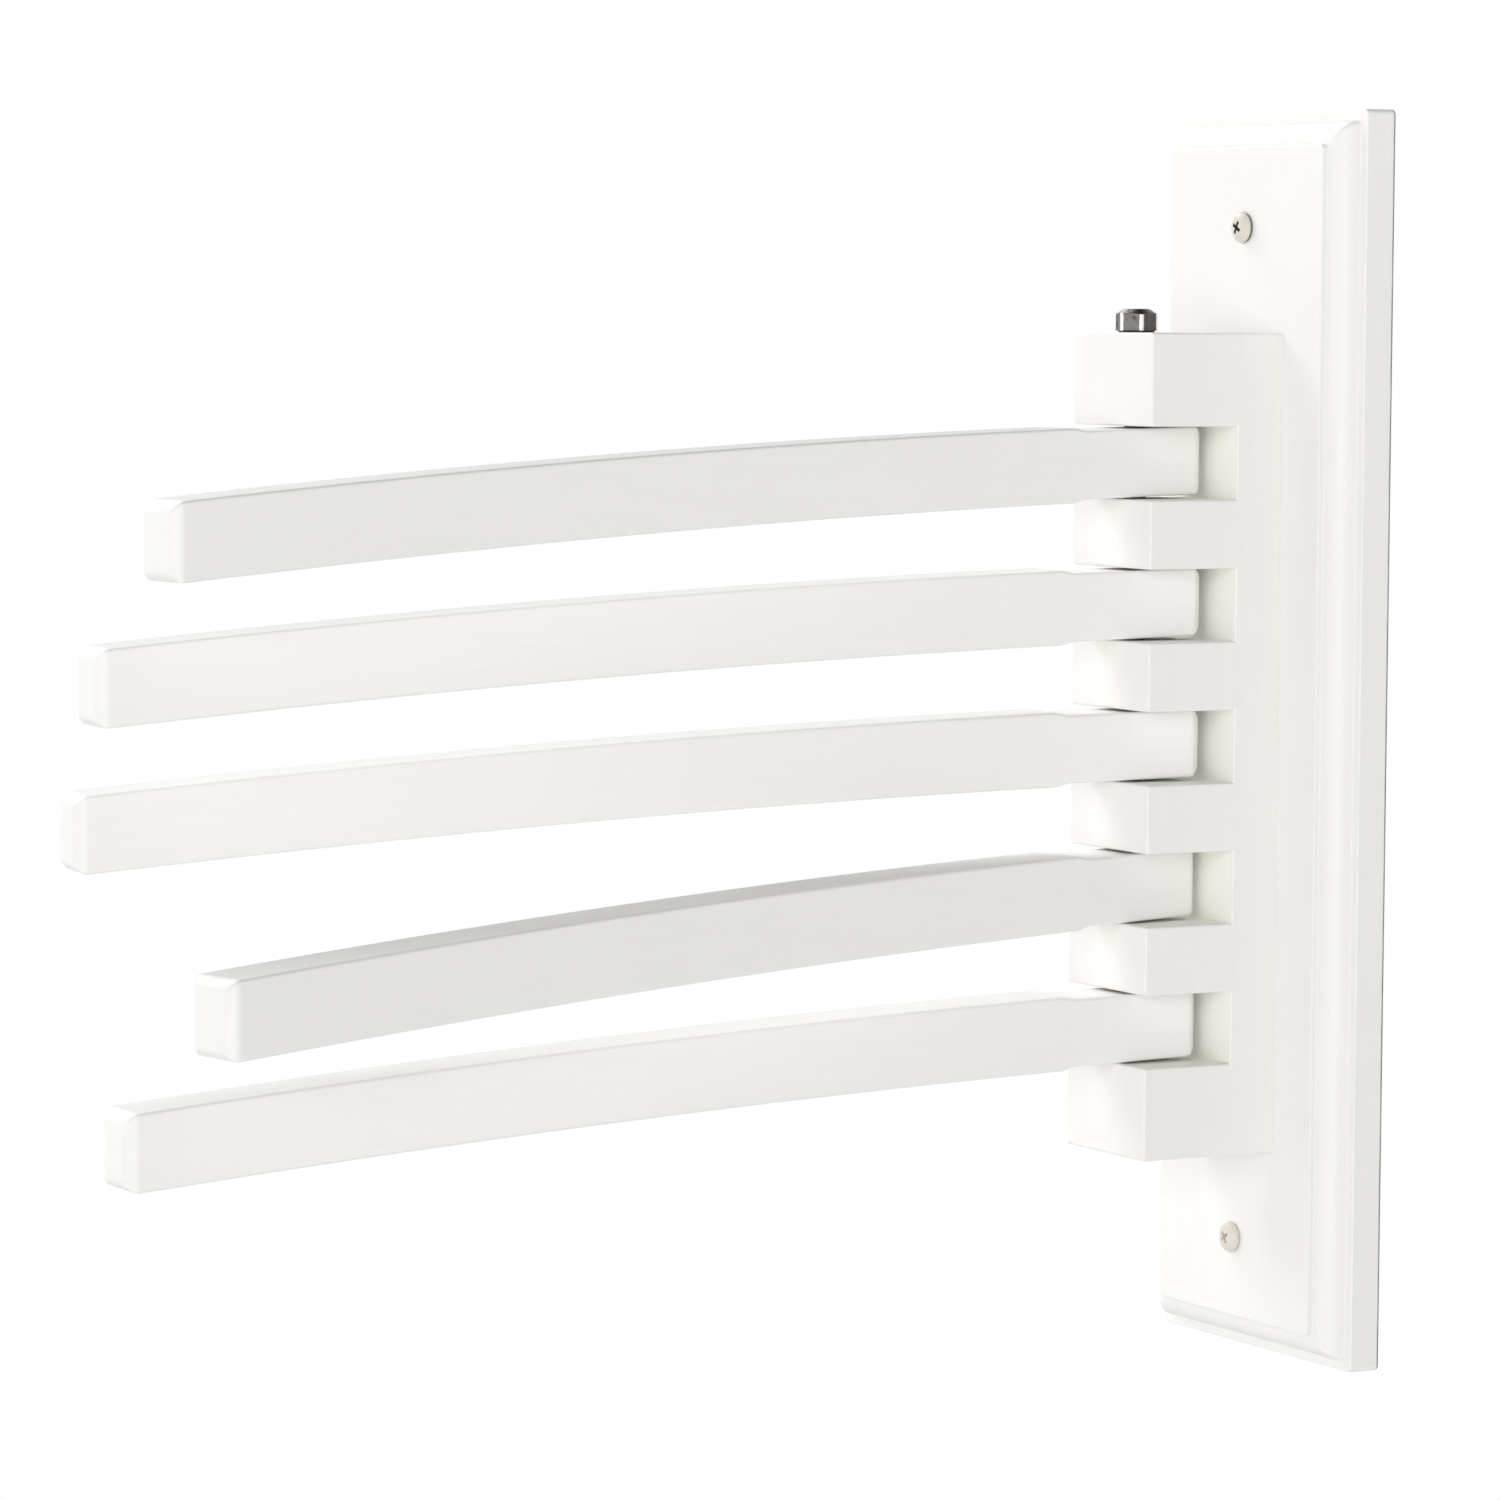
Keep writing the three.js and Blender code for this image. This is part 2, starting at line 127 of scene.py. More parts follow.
class RackPlate(bpy.types.PropertyGroup):
    """Sizes of the back plate."""

    side_band: length("Side band", "Thickness of the side that the router leaves square", 9)
    edge_land: length("Edge land", "Flat land between the side and the rounded part", 2.9)
    edge_width: length("Edge width", "Width of the whole routed edge, seen from the front", 9.2)
    edge_step: length("Edge step", "Square step up to the face", 1.7)
    arris: length("Arris", "Rounding of the routed edge's corners", 0.45)
    corner: length("Corner", "Rounding of the plate's four corners", 1.5)


class RackBlock(bpy.types.PropertyGroup):
    """Sizes of the slotted pivot block."""

    slot_depth: length("Slot depth", "How far the slots reach in from the front", 27.1)
    slot_height: length("Slot height", "Height of each slot", 19.554)
    arris: length("Arris", "Rounding of the block's edges", 0.65)


class RackArm(bpy.types.PropertyGroup):
    """Sizes of the swinging arms."""

    width: length("Width", "Width of an arm", 18.5)
    height: length("Height", "Height of an arm outside the block", 20)
    tongue_height: length("Tongue height", "Height of the inner end that turns in the slot", 18.3)
    shoulder_start: length("Shoulder start", "Where the tongue ends, from the bolt", 22.257)
    shoulder_length: length("Shoulder length", "Length of the slope up to the full height", 4)
    chamfer: length("Chamfer", "Chamfer round the end faces", 2.4)
    chamfer_softness: length("Chamfer softness", "Rounding of the chamfer's edges", 1.1)
    arris: length("Arris", "Rounding of the long edges", 0.9)
    lift: length("Lift", "Height of the arm's middle line over the slot's middle, at the bolt", 0.087)
    tilt: FloatProperty(name="Tilt", description="Slope at which an arm hangs in its slot", default=0.0265)
    bow: FloatProperty(name="Bow", description="Sag of an arm, per metre of length squared", default=0.112)
    rings: IntProperty(name="Rings", description="Cross sections along an arm", default=48, min=8)


class RackHardware(bpy.types.PropertyGroup):
    """Sizes of the bolt, its insert and the screws."""

    bolt: length("Bolt", "Diameter of the pivot bolt", 6)
    bolt_hole: length("Bolt hole", "Diameter of the bolt's hole", 6.7)
    bolt_pitch: length("Bolt pitch", "Pitch of the bolt's thread", 1)
    bolt_thread: length("Bolt thread", "Threaded length of the bolt", 22)
    head_flats: length("Head flats", "Width of the bolt's head across its flats", 10.3)
    head_height: length("Head height", "Height of the bolt's head", 6.3)
    head_chamfer: length("Head chamfer", "How far the head's corners are turned down", 1.6)
    head_top: length("Head top", "Diameter of the head's flat top", 6.7)
    head_arris: length("Head arris", "Rounding of the head's edges", 0.22)
    washer_face: length("Washer face", "Thickness of the round face under the head", 0.45)
    head_turn: angle("Head turn", "Turn of the bolt's head", 13)
    screw: length("Screw", "Diameter of the wood screws", 4.2)
    screw_hole: length("Screw hole", "Diameter of the screws' holes", 4.9)
    screw_pitch: length("Screw pitch", "Pitch of the wood screws' thread", 1.8)
    screw_depth: length("Screw thread depth", "Depth of the wood screws' thread", 0.46)
    screw_point: length("Screw point", "Length of a wood screw's point", 5)
    pan_rim: length("Pan head rim", "Height of the straight rim of a wall screw's head", 0.8)
    flat_head: length("Flat head", "Diameter of a block screw's countersunk head", 7.6)
    flat_head_height: length("Flat head height", "Height of the countersunk head", 2.6)
    flat_head_rim: length("Flat head rim", "Straight rim of the countersunk head", 0.3)
    recess_length: length("Recess length", "Length of a bar of the cross recess", 5.2)
    recess_width: length("Recess width", "Width of a bar of the cross recess", 1.1)
    recess_depth: length("Recess depth", "Depth of the cross recess", 1.5)
    insert_thread: length("Insert thread", "Depth of the insert's outside thread", 0.4)
    insert_pitch: length("Insert pitch", "Pitch of the insert's outside thread", 2.5)


class RackColours(bpy.types.PropertyGroup):
    """Colours of the finishes."""

    paint: colour("Paint", "Satin white paint", 0.88, 0.87, 0.852)
    block_paint: colour("Block paint", "The block's slightly warmer white", 0.88, 0.865, 0.838)
    slot_paint: colour("Slot paint", "Clean paint inside the slots", 0.93, 0.928, 0.88)
    primer: colour("Primer", "Thin coat where the brush hardly reaches", 0.76, 0.69, 0.56)
    bare_wood: colour("Bare wood", "Pale wood under the thin coat", 0.52, 0.38, 0.22)
    # painted shade: a near-black colour for the dark line where the plate's back edge meets the wall
    grime: colour("Grime", "Dust that settles along the plate's back edge", 0.10, 0.09, 0.075)
    steel: colour("Steel", "Grey zinc on the bolt", 0.13, 0.123, 0.117)
    # also the painted shade along the wall screws' rims, round their crosses and in the upper screw's recess
    tarnish: colour("Tarnish", "Darker patches on the steel", 0.045, 0.04, 0.035)
    enamel: colour("Enamel", "White coat of the wall screws", 0.72, 0.68, 0.61)
    brass: colour("Brass", "Turned brass of the insert", 0.78, 0.57, 0.25)
    yellow_zinc: colour("Yellow zinc", "Plating of the block screws", 0.66, 0.52, 0.24)
    paint_roughness: share("Paint roughness", "Roughness of the paint", 0.42)
    steel_roughness: share("Steel roughness", "Roughness of the steel", 0.34)


class RackStage(bpy.types.PropertyGroup):
    """The camera, the lights and the floor."""

    camera: FloatVectorProperty(
        name="Camera",
        description="Place of the camera",
        default=(1.381, -0.900, 0.1116),
        subtype="TRANSLATION",
    )
    azimuth: angle("Azimuth", "Turn of the view from straight on", 62.07)
    downward: angle("Downward", "How far the camera looks down", 4.08)
    roll: angle("Roll", "How far the camera leans", 0.38)
    lens: FloatProperty(name="Lens", description="Focal length in millimetres", default=144.02)
    floor_height: FloatProperty(
        name="Floor height", description="Height of the floor", default=-1.0, unit="LENGTH"
    )
    floor_reach: FloatProperty(
        name="Floor reach", description="Half the width of the floor", default=3.0, unit="LENGTH"
    )
    right: power("Right light", "Power of the right light", 200)
    left: power("Left light", "Power of the left light", 140)
    high: power("High light", "Power of the high light", 290)
    lamp_distance: FloatProperty(
        name="Lamp distance", description="Distance of the lamps", default=7.3, unit="LENGTH"
    )
    lamp_size: FloatProperty(
        name="Lamp size", description="Width of each lamp", default=4.5, unit="LENGTH"
    )
    sky: FloatProperty(name="Sky", description="Strength of the white surroundings", default=1.0)
    zenith: FloatProperty(name="Zenith", description="Strength of the sky overhead", default=0.0)


class RackSettings(bpy.types.PropertyGroup):
    """All that can be changed on the rack."""

    plate: PointerProperty(type=RackPlate)
    block: PointerProperty(type=RackBlock)
    arm: PointerProperty(type=RackArm)
    hardware: PointerProperty(type=RackHardware)
    colours: PointerProperty(type=RackColours)
    stage: PointerProperty(type=RackStage)


# ---------------------------------------------------------------- shader maths


class Wire:
    """The output of a node, on which sums are written as Python expressions."""

    def __init__(self, finish, socket):
        self.finish = finish
        self.socket = socket

    def sum(self, operation, *values):
        return self.finish.add("ShaderNodeMath", {"operation": operation}, dict(enumerate(values)))

    def __add__(self, other):
        return self.sum("ADD", self, other)

    def __radd__(self, other):
        return self.sum("ADD", other, self)

    def __sub__(self, other):
        return self.sum("SUBTRACT", self, other)

    def __rsub__(self, other):
        return self.sum("SUBTRACT", other, self)

    def __mul__(self, other):
        return self.sum("MULTIPLY", self, other)

    def __rmul__(self, other):
        return self.sum("MULTIPLY", other, self)

    def root(self):
        """The square root."""
        return self.sum("SQRT", self)

    def larger(self, other):
        """The larger of two values."""
        return self.sum("MAXIMUM", self, other)

    def above(self, edge, softness):
        """0 below the edge and 1 above it, with a soft step of the given width."""
        limits = {"From Min": edge - softness / 2, "From Max": edge + softness / 2}
        settings = {"interpolation_type": "SMOOTHSTEP", "clamp": True}
        return self.finish.add("ShaderNodeMapRange", settings, {"Value": self, **limits})

    def below(self, edge, softness):
        """1 below the edge and 0 above it."""
        return 1 - self.above(edge, softness)


class Finish:
    """A material that is being put together."""

    def __init__(self, name):
        self.material = bpy.data.materials.new(name)
        self.material.use_nodes = True
        self.tree = self.material.node_tree
        self.tree.nodes.clear()
        self.shader = self.tree.nodes.new("ShaderNodeBsdfPrincipled")
        output = self.tree.nodes.new("ShaderNodeOutputMaterial")
        self.tree.links.new(self.shader.outputs["BSDF"], output.inputs["Surface"])

    def add(self, kind, settings=None, sockets=None, output=0):
        """Adds a node. Its settings come first, then the values or wires of its sockets."""
        node = self.tree.nodes.new(kind)
        for name, value in (settings or {}).items():
            setattr(node, name, value)
        for name, value in (sockets or {}).items():
            self.connect(self.find(node.inputs, name), value)
        return Wire(self, self.find(node.outputs, output))

    @staticmethod
    def find(sockets, name):
        """A socket by its number, identifier or name."""
        if isinstance(name, int):
            return sockets[name]
        named = [s for s in sockets if s.identifier == name]
        return named[0] if named else sockets[name]

    def connect(self, socket, value):
        if isinstance(value, Wire):
            self.tree.links.new(value.socket, socket)
        elif socket.type == "RGBA":
            socket.default_value = (*value[:3], 1)
        else:
            socket.default_value = value

    def set(self, **sockets):
        """Sets or connects the shader's own sockets; an underscore stands for a space."""
        for name, value in sockets.items():
            self.connect(self.shader.inputs[name.replace("_", " ")], value)

    def mixed(self, factor, first, second):
        """A colour between two colours."""
        sockets = {"Factor_Float": factor, "A_Color": first, "B_Color": second}
        return self.add("ShaderNodeMix", {"data_type": "RGBA"}, sockets, "Result_Color")

    def place(self, turn=0.0, offset=(0, 0, 0)):
        """The piece's own coordinates, turned about the Z axis."""
        coordinates = self.add("ShaderNodeTexCoord", output="Object")
        sockets = {"Vector": coordinates, "Location": offset, "Rotation": (0, 0, turn)}
        return self.add("ShaderNodeMapping", {"vector_type": "POINT"}, sockets)

    def parts(self, vector):
        """The X, Y and Z of a vector."""
        split = self.tree.nodes.new("ShaderNodeSeparateXYZ")
        self.connect(split.inputs[0], vector)
        return [Wire(self, socket) for socket in split.outputs]

    def stretched(self, vector, scale):
        """Coordinates that are drawn out along some axes."""
        return self.add("ShaderNodeMapping", {"vector_type": "POINT"}, {"Vector": vector, "Scale": scale})

    def noise(self, vector, scale, detail=3.0, roughness=0.5, distortion=0.0):
        """Soft noise from 0 to 1; scale is the number of patches in a metre."""
        sockets = {
            "Vector": vector,
            "Scale": scale,
            "Detail": detail,
            "Roughness": roughness,
            "Distortion": distortion,
        }
        return self.add("ShaderNodeTexNoise", None, sockets)

    def bump(self, height, depth, strength=1.0, normal=None):
        """A surface normal from a height of 0 to 1 that stands for the given depth in metres."""
        sockets = {"Height": height, "Distance": depth, "Strength": strength}
        if normal is not None:
            sockets["Normal"] = normal
        return self.add("ShaderNodeBump", None, sockets)


# ---------------------------------------------------------------- finishes

GRAIN = {"Y": (1, 0.05, 1), "Z": (1, 1, 0.05)}


def paint_coat(finish, vector, along, colours, tone=None):
    """Brushed satin paint over fine wood: its colour, roughness and normal."""
    streaks = finish.stretched(vector, GRAIN[along])
    brush = finish.noise(streaks, 1400, 4, 0.6, 0.3)
    grain = finish.noise(streaks, 420, 5, 0.62, 0.8)
    patches = finish.noise(vector, 38, 2)
    peel = finish.noise(vector, 1900, 2)
    shade = 0.5 * grain + 0.3 * patches + 0.2 * brush
    tone = tone or colours.paint
    light = [min(1, value * 1.01) for value in tone]
    dark = [value * 0.98 for value in tone]
    colour = finish.mixed(shade.above(0.5, 0.5), dark, light)
    roughness = colours.paint_roughness + 0.16 * (patches - 0.5) + 0.1 * (brush - 0.5)
    relief = finish.bump(0.45 * brush + 0.35 * grain + 0.2 * peel, 0.06 * MM, 0.32)
    return colour, roughness, relief


def painted_wood(name, along, colours, turn=0.0, offset=(0, 0, 0), tone=None):
    """White painted wood with its grain along Y or Z."""
    finish = Finish(name)
    vector = finish.place(turn, offset)
    colour, roughness, relief = paint_coat(finish, vector, along, colours, tone)
    finish.set(Base_Color=colour, Roughness=roughness, Normal=relief, Specular_IOR_Level=0.42)
    return finish.material


def painted_plate(name, colours):
    """The plate's paint: painted shade along its back edge, and a thin coat on its back."""
    finish = Finish(name)
    vector = finish.place()
    depth = finish.parts(vector)[1]
    colour, roughness, relief = paint_coat(finish, vector, "Z", colours)
    streaks = finish.noise(finish.stretched(vector, GRAIN["Z"]), 260, 6, 0.65, 1.2)
    shade_wobble = finish.noise(vector, 160, 3)
    thin = depth.above(-0.06 * MM, 0.08 * MM) * (0.35 + 0.5 * streaks.above(0.5, 0.3))
    # painted shade: a dark line along the back edge, where the plate meets the wall
    edge = depth.above(-0.62 * MM + 0.3 * MM * (shade_wobble - 0.5), 0.35 * MM)
    grime = edge * depth.below(-0.1 * MM, 0.1 * MM)
    coat = finish.mixed(thin, colour, finish.mixed(streaks, colours.primer, colours.bare_wood))
    finish.set(
        Base_Color=finish.mixed(grime * 0.8, coat, colours.grime),
        Roughness=roughness + 0.25 * thin,
        Normal=relief,
        Specular_IOR_Level=0.42,
    )
    return finish.material


def thin_coat_and_shade(name, colours, recoloured_zone):
    """The slots' insides, where the turning arms rub the paint thin round the bolt, with painted shade there
    too.
    """
    finish = Finish(name)
    vector = finish.place(offset=-BOLT_AXIS)
    across, depth = finish.parts(vector)[:2]
    colour, roughness, relief = paint_coat(finish, vector, "Z", colours, colours.slot_paint)
    streaks = finish.noise(finish.stretched(vector, GRAIN["Z"]), 300, 6, 0.65, 1.2)
    radius = (across * across + depth * depth).root()
    # darker, warmer coat round the bolt: thin paint over bare wood, and painted shade deep in the slots
    inside = (radius + 4 * MM * (streaks - 0.5)).below(recoloured_zone, 4 * MM)
    wood = finish.mixed(streaks, colours.primer, colours.bare_wood)
    finish.set(
        Base_Color=finish.mixed(inside * 0.55, colour, wood),
        Roughness=roughness + 0.25 * inside,
        Normal=relief,
        Specular_IOR_Level=0.35,
    )
    return finish.material


def plated_steel(name, colour_rgb, tarnish, roughness, along=(1, 1, 1), corner=None):
    """Plated metal, mottled and a little scratched, with a painted highlight along a hexagon's corners."""
    finish = Finish(name)
    vector = finish.place()
    mottle = finish.noise(vector, 420, 5, 0.6)
    fine = finish.noise(finish.stretched(vector, along), 5200, 3, 0.6)
    patches = finish.noise(vector, 900, 3, 0.6, 0.6)
    dirt = (0.6 * mottle + 0.4 * patches).above(0.56, 0.16)
    metal = finish.mixed(fine, colour_rgb, [v * 0.8 for v in colour_rgb])
    colour = finish.mixed(dirt * 0.75, metal, tarnish)
    relief = finish.bump(0.6 * fine + 0.4 * mottle, 0.03 * MM, 0.6)
    if corner:
        across, depth = finish.parts(finish.place(offset=-BOLT_AXIS))[:2]
        radius = (across * across + depth * depth).root()
        # painted highlight: a pale line of colour along the head's corners
        recoloured_zone = (radius + 0.12 * MM * (patches - 0.5)).above(corner - 0.3 * MM, 0.12 * MM)
        colour = finish.mixed(recoloured_zone, colour, (0.85, 0.83, 0.8))
    finish.set(
        Base_Color=colour,
        Metallic=1 - 0.35 * dirt,
        Roughness=roughness + 0.18 * (mottle - 0.5) + 0.2 * dirt,
        Normal=relief,
    )
    return finish.material


def enamelled_screw(name, colours, centre, rim_top, bare_and_shaded_radius, rim_shade):
    """White enamel on a screw's dome, chipped to steel round the cross, with painted shade there and in a
    band along the rim.
    """
    finish = Finish(name)
    vector = finish.place(offset=(0, 0, -centre))
    across, depth, height = finish.parts(vector)
    radius = (across * across + height * height).root()
    chips = finish.noise(vector, 1500, 4, 0.65, 0.4)
    peel = finish.noise(vector, 2600, 2)
    # round the cross: enamel chipped to steel, and painted shade round the recess
    chipped_and_shaded = (radius + 2.4 * MM * (chips - 0.5)).below(bare_and_shaded_radius, 0.3 * MM)
    # painted shade: dark steel in a band along the rim, for the shadow under the head's edge
    rim = (depth + 0.35 * MM * (chips - 0.5)).above(rim_top, 0.15 * MM) * rim_shade
    bare_and_shaded = chipped_and_shaded.larger(rim)
    enamel = finish.mixed(chips, colours.enamel, [v * 0.94 for v in colours.enamel])
    finish.set(
        Base_Color=finish.mixed(bare_and_shaded, enamel, colours.tarnish),
        Metallic=0.5 * bare_and_shaded,
        Roughness=0.36 + 0.2 * bare_and_shaded + 0.1 * (peel - 0.5),
        Normal=finish.bump(0.5 * peel + 0.5 * (1 - bare_and_shaded), 0.04 * MM, 0.7),
    )
    return finish.material


def recess_finish(name, dark, pale):
    """The sunk cross of a screw: dark with dirt and painted shade, or pale with paint left in it."""
    finish = Finish(name)
    vector = finish.place()
    crumbs = finish.noise(vector, 2200, 4, 0.6)
    finish.set(
        Base_Color=finish.mixed(crumbs.above(0.56, 0.2), dark, pale),
        Roughness=0.6 + 0.2 * (crumbs - 0.5),
        Normal=finish.bump(crumbs, 0.08 * MM, 0.6),
    )
    return finish.material


def floor_finish(name):
    """Plain pale floor."""
    finish = Finish(name)
    vector = finish.place()
    cloud = finish.noise(vector, 2.5, 3)
    grit = finish.noise(vector, 220, 2)
    finish.set(
        Base_Color=finish.mixed(0.6 * cloud + 0.4 * grit, (0.93, 0.93, 0.925), (0.90, 0.90, 0.895)),
        Roughness=0.8 + 0.1 * (grit - 0.5),
        Normal=finish.bump(grit, 0.1 * MM, 0.3),
    )
    return finish.material


# ---------------------------------------------------------------- making pieces


def softened(points, radius, steps=4):
    """A path of 2-D points with its sharp corners rounded off."""
    path = [Vector(points[0])]
    for before, corner, after in zip(points, points[1:], points[2:]):
        corner = Vector(corner)
        back = Vector(before) - corner
        on = Vector(after) - corner
        if back.angle(-on) < math.radians(20):
            path.append(corner)
            continue
        reach = min(radius, back.length * 0.49, on.length * 0.49)
        start = corner + back.normalized() * reach
        end = corner + on.normalized() * reach
        for i in range(steps + 1):
            t = i / steps
            path.append(start.lerp(corner, t).lerp(corner.lerp(end, t), t))
    return path + [Vector(points[-1])]


def shift_ring(bm, verts, outward, inset):
    """Moves a ring towards -Y, and each of its corners inwards."""
    bmesh.ops.translate(bm, verts=verts, vec=(0, -outward, 0))
    for right in (False, True):
        for upper in (False, True):
            corner = [v for v in verts if (v.co.x > 0) == right and (v.co.z > 0) == upper]
            move = (-inset if right else inset, 0, -inset if upper else inset)
            bmesh.ops.translate(bm, verts=corner, vec=move)


def grown(width, height, corner, rings):
    """A rectangle with round corners in the X-Z plane, grown towards -Y through (distance, inset) rings."""
    bm = bmesh.new()
    start = bmesh.ops.create_grid(bm, x_segments=1, y_segments=1, size=0.5)["verts"]
    bmesh.ops.scale(bm, verts=start, vec=(width, height, 1))
    bmesh.ops.bevel(
        bm, geom=start, affect="VERTICES", offset=corner, segments=5, profile=0.5, material=-1
    )
    upright = Matrix.Rotation(math.radians(90), 3, "X")
    bmesh.ops.rotate(bm, verts=bm.verts, cent=(0, 0, 0), matrix=upright)
    shift_ring(bm, list(bm.verts), *rings[0])
    face = next(iter(bm.faces))
    for before, after in zip(rings, rings[1:]):
        new = bmesh.ops.extrude_face_region(bm, geom=[face, *face.edges])["geom"]
        face = next(item for item in new if isinstance(item, bmesh.types.BMFace))
        step = Vector(after) - Vector(before)
        shift_ring(bm, [item for item in new if isinstance(item, bmesh.types.BMVert)], *step)
    return bm


def turned(profile, steps=64):
    """A solid turned about the Z axis, from (radius, z) points that start and end on the axis."""
    bm = bmesh.new()
    points = [bm.verts.new((radius, 0, z)) for radius, z in profile]
    edges = [bm.edges.new(pair) for pair in zip(points, points[1:])]
    spin(bm, points + edges, 2 * math.pi, steps, use_merge=True)
    return bm


def spin(bm, geom, angle, steps, use_merge=False, rise=0.0):
    bmesh.ops.spin(
        bm,
        geom=geom,
        cent=(0, 0, 0),
        axis=(0, 0, 1),
        dvec=(0, 0, rise / steps),
        angle=angle,
        steps=steps,
        use_merge=use_merge,
    )
    bmesh.ops.remove_doubles(bm, verts=bm.verts, dist=0.002 * MM)


def threaded(radius, depth, pitch, low, high, steps=28):
    """A solid rod along Z with a helical thread, from z = low to z = high."""
    bm = bmesh.new()
    root = radius - depth
    turns = math.ceil((high - low) / pitch) + 3
    bottom = low - 1.5 * pitch
    flanks = [(root, 0), (radius, 0.4), (radius, 0.5), (root, 0.9), (root, 1)]
    points = [bm.verts.new((r, 0, bottom + part * pitch)) for r, part in flanks]
    edges = [bm.edges.new(pair) for pair in zip(points, points[1:])]
    spin(bm, points + edges, 2 * math.pi * turns, steps * turns, rise=pitch * turns)
    for z, outward in ((low, -1), (high, 1)):
        everything = [*bm.verts, *bm.edges, *bm.faces]
        bmesh.ops.bisect_plane(
            bm, geom=everything, plane_co=(0, 0, z), plane_no=(0, 0, outward), clear_outer=True, dist=1e-7
        )
        rim = [e for e in bm.edges if e.is_boundary and all(abs(v.co.z - z) < 1e-6 for v in e.verts)]
        bmesh.ops.contextual_create(bm, geom=rim)
    return bm


def rod(radius, low, high, segments=48):
    """A round rod along Z."""
    bm = bmesh.new()
    middle = Matrix.Translation((0, 0, (low + high) / 2))
    bmesh.ops.create_cone(
        bm, cap_ends=True, segments=segments, radius1=radius, radius2=radius, depth=high - low, matrix=middle
    )
    return bm


def moved(bm, matrix):
    """The same bmesh, moved."""
    bmesh.ops.transform(bm, matrix=matrix, verts=bm.verts)
    return bm


def to_wall(x=0.0, z=0.0, turn=0.0):
    """Turns a piece that is built along +Z so that it points out from the wall."""
    outward = Matrix.Rotation(math.radians(90), 4, "X")
    return Matrix.Translation((x, 0, z)) @ outward @ Matrix.Rotation(turn, 4, "Z")


def to_object(name, bm):
    """A Blender object from a bmesh, with its faces pointing outwards."""
    bmesh.ops.recalc_face_normals(bm, faces=bm.faces)
    mesh = bpy.data.meshes.new(name)
    bm.to_mesh(mesh)
    bm.free()
    piece = bpy.data.objects.new(name, mesh)
    bpy.context.scene.collection.objects.link(piece)
    return piece


def settle(piece):
    """Applies a piece's modifiers to its mesh."""
    depsgraph = bpy.context.evaluated_depsgraph_get()
    mesh = bpy.data.meshes.new_from_object(piece.evaluated_get(depsgraph))
    piece.modifiers.clear()
    piece.data = mesh
    mesh.name = piece.name


def combine(piece, tools, operation="DIFFERENCE", material=None):
    """Cuts each tool out of a piece, or joins it on, and removes the tool. A material covers the cut."""
    for bm in tools:
        tool = to_object("tool", bm)
        modifier = piece.modifiers.new("Cut", "BOOLEAN")
        if material:
            tool.data.materials.append(material)
            modifier.material_mode = "TRANSFER"
        modifier.operation = operation
        modifier.solver = "EXACT"
        modifier.object = tool
        settle(piece)
        bpy.data.objects.remove(tool)
    return piece


def finished(piece, body, nodes, materials, smooth=SMOOTH_ANGLE):
    """Shades a piece, gives it its finish and sets it on its body in place of the CAD nodes."""
    for material in materials:
        if piece.data.materials.find(material.name) < 0:
            piece.data.materials.append(material)
    piece.data.shade_smooth()
    piece.data.set_sharp_from_angle(angle=math.radians(smooth))
    normals = piece.modifiers.new("Even shading", "WEIGHTED_NORMAL")
    normals.keep_sharp = True
    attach(piece, body)
    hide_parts(*nodes)
    return piece


def eased(piece, width, segments=2, angle=30):
    """Rounds the sharp edges of a finished shape."""
    bevel = piece.modifiers.new("Ease", "BEVEL")
    bevel.width = width
    bevel.segments = segments
    bevel.limit_method = "ANGLE"
    bevel.angle_limit = math.radians(angle)
    settle(piece)
    return piece


def middle_of(node):
    """The middle of a CAD node's box."""
    low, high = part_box(node)
    return (low + high) / 2


# ---------------------------------------------------------------- plate and block

BLOCK_SCREWS = sorted((n for n in frame["nodes"] if n.startswith("block_screw")))
WALL_SCREWS = ("wall_screw_upper", "wall_screw_lower")


class RACK_OT_back_plate(bpy.types.Operator):
    """Make the back plate with its routed edge and its screw holes"""

    bl_idname = "rack.back_plate"
    bl_label = "Back Plate"

    def execute(self, context):
        rack = context.scene.rack
        low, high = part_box("back_plate")
        thickness = high.y - low.y
        plate = to_object(
            "back_plate_finished",
            grown(high.x - low.x, high.z - low.z, rack.plate.corner, self.rings(rack.plate, thickness)),
        )
        hardware = rack.hardware
        holes = [
            moved(
                rod(hardware.screw_hole / 2, -CUT_OVER, thickness + CUT_OVER), to_wall(z=middle_of(node).z)
            )
            for node in WALL_SCREWS
        ]
        sinks = [
            moved(self.sink(hardware, thickness), to_wall(z=middle_of(node).z)) for node in BLOCK_SCREWS
        ]
        combine(plate, holes + sinks)
        paint = painted_plate("plate_paint", rack.colours)
        finished(plate, WALL_BODY, ["back_plate"], [paint])
        return {"FINISHED"}

    @staticmethod
    def rings(plate, thickness):
        """The edge's profile from the back to the face, as (height over the wall, inset) points."""
        top = thickness - plate.edge_step
        rise = top - plate.side_band
        run = plate.edge_width - plate.edge_land
        quarter = [math.radians(90 * i / 14) for i in range(15)]
        ovolo = [
            (plate.side_band + rise * math.sin(t), plate.edge_width - run * math.cos(t)) for t in quarter
        ]
        outline = [
            (0, 4 * plate.arris),
            (0, 0),
            (plate.side_band, 0),
            *ovolo,
            (thickness, plate.edge_width),
            (thickness, plate.edge_width + 4 * plate.arris),
        ]
        return softened(outline, plate.arris)

    @staticmethod
    def sink(hardware, thickness):
        """A countersunk hole that opens at the plate's back."""
        mouth = hardware.flat_head / 2 + SINK_CLEARANCE
        rim = GAP + hardware.flat_head_rim
        cone = [
            (0, -CUT_OVER),
            (mouth, -CUT_OVER),
            (mouth, rim),
            (hardware.screw_hole / 2, GAP + hardware.flat_head_height),
            (hardware.screw_hole / 2, thickness + CUT_OVER),
            (0, thickness + CUT_OVER),
        ]
        return turned(cone, 48)


